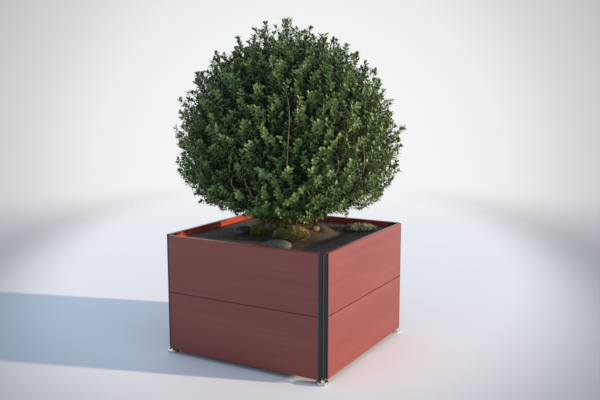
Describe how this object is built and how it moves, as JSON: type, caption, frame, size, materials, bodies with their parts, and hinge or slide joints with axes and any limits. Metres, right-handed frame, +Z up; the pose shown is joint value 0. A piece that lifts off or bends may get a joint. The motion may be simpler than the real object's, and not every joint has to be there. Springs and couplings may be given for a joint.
{
  "type": "planter box",
  "caption": "Square planter box with tiered boards between fluted corner posts on levelling feet, with a lift-out planted liner and a clipped globe shrub.",
  "frame": {"origin": "middle of the box on the ground, at the bottom of the feet", "axes": "+Z up, -Y towards the front face, +X to the right"},
  "size_m": [1.224, 1.2236, 1.827],
  "materials": {
    "post_metal": "satin",
    "dark_plastic": "matte",
    "board_wood": "satin",
    "rail_steel": "satin",
    "slat_wood": "matte",
    "bush_brass": "satin",
    "screw_steel": "satin",
    "foot_chrome": "polished",
    "pad_rubber": "matte",
    "gravel": "matte",
    "fleece": "matte",
    "earth": "matte",
    "bark": "matte",
    "leaves": "satin",
    "cobble": "matte",
    "moss": "matte"
  },
  "bodies": {
    "frame": {"post_front_left": "post_metal", "post_front_right": "post_metal", "post_back_right": "post_metal", "post_back_left": "post_metal", "post_cap_front_left": "dark_plastic", "post_cap_front_right": "dark_plastic", "post_cap_back_right": "dark_plastic", "post_cap_back_left": "dark_plastic", "board_front_lower": "board_wood", "board_right_lower": "board_wood", "board_back_lower": "board_wood", "board_left_lower": "board_wood", "board_front_upper": "board_wood", "board_right_upper": "board_wood", "board_back_upper": "board_wood", "board_left_upper": "board_wood", "rail_front": "rail_steel", "rail_right": "rail_steel", "rail_back": "rail_steel", "rail_left": "rail_steel", "centre_bearer": "rail_steel", "floor_slat_1": "slat_wood", "floor_slat_2": "slat_wood", "floor_slat_3": "slat_wood", "floor_slat_4": "slat_wood", "floor_slat_5": "slat_wood", "foot_bush_front_left": "bush_brass", "foot_bush_front_right": "bush_brass", "foot_bush_back_right": "bush_brass", "foot_bush_back_left": "bush_brass", "board_screws": "screw_steel", "rail_screws": "screw_steel", "slat_screws": "screw_steel"},
    "planting": {"liner": "dark_plastic", "drainage_gravel": "gravel", "filter_fleece": "fleece", "soil": "earth", "root_ball": "earth", "shrub_stems": "bark", "shrub_crown": "leaves", "stone_front": "cobble", "stone_left": "cobble", "stone_right": "cobble", "stone_small": "cobble", "tuft_front": "moss", "tuft_left": "moss", "tuft_right": "moss"},
    "foot_front_left": {"foot_disc_front_left": "foot_chrome", "foot_pad_front_left": "pad_rubber"},
    "stem_front_left": {"foot_stem_front_left": "foot_chrome"},
    "foot_front_right": {"foot_disc_front_right": "foot_chrome", "foot_pad_front_right": "pad_rubber"},
    "stem_front_right": {"foot_stem_front_right": "foot_chrome"},
    "foot_back_right": {"foot_disc_back_right": "foot_chrome", "foot_pad_back_right": "pad_rubber"},
    "stem_back_right": {"foot_stem_back_right": "foot_chrome"},
    "foot_back_left": {"foot_disc_back_left": "foot_chrome", "foot_pad_back_left": "pad_rubber"},
    "stem_back_left": {"foot_stem_back_left": "foot_chrome"}
  },
  "joints": [
    {"name": "planting_lift", "type": "slide", "parent": "frame", "child": "planting", "axis": [0, 0, 1], "range_m": [0, 0.62]},
    {"name": "foot_front_left_lower", "type": "slide", "parent": "frame", "child": "foot_front_left", "axis": [0, 0, -1], "range_m": [0, 0.02]},
    {"name": "foot_front_left_turn", "type": "hinge", "parent": "foot_front_left", "child": "stem_front_left", "pos_m": [-0.472, -0.472, 0.02], "axis": [0, 0, -1], "range_deg": [0, 4801]},
    {"name": "foot_front_right_lower", "type": "slide", "parent": "frame", "child": "foot_front_right", "axis": [0, 0, -1], "range_m": [0, 0.02]},
    {"name": "foot_front_right_turn", "type": "hinge", "parent": "foot_front_right", "child": "stem_front_right", "pos_m": [0.472, -0.472, 0.02], "axis": [0, 0, -1], "range_deg": [0, 4801]},
    {"name": "foot_back_right_lower", "type": "slide", "parent": "frame", "child": "foot_back_right", "axis": [0, 0, -1], "range_m": [0, 0.02]},
    {"name": "foot_back_right_turn", "type": "hinge", "parent": "foot_back_right", "child": "stem_back_right", "pos_m": [0.472, 0.472, 0.02], "axis": [0, 0, -1], "range_deg": [0, 4801]},
    {"name": "foot_back_left_lower", "type": "slide", "parent": "frame", "child": "foot_back_left", "axis": [0, 0, -1], "range_m": [0, 0.02]},
    {"name": "foot_back_left_turn", "type": "hinge", "parent": "foot_back_left", "child": "stem_back_left", "pos_m": [-0.472, 0.472, 0.02], "axis": [0, 0, -1], "range_deg": [0, 4801]}
  ],
  "couplings": [
    {"joint": "foot_front_left_turn", "follows": "foot_front_left_lower", "rad_per_m": 4188.8},
    {"joint": "foot_front_right_turn", "follows": "foot_front_right_lower", "rad_per_m": 4188.8},
    {"joint": "foot_back_right_turn", "follows": "foot_back_right_lower", "rad_per_m": 4188.8},
    {"joint": "foot_back_left_turn", "follows": "foot_back_left_lower", "rad_per_m": 4188.8}
  ]
}
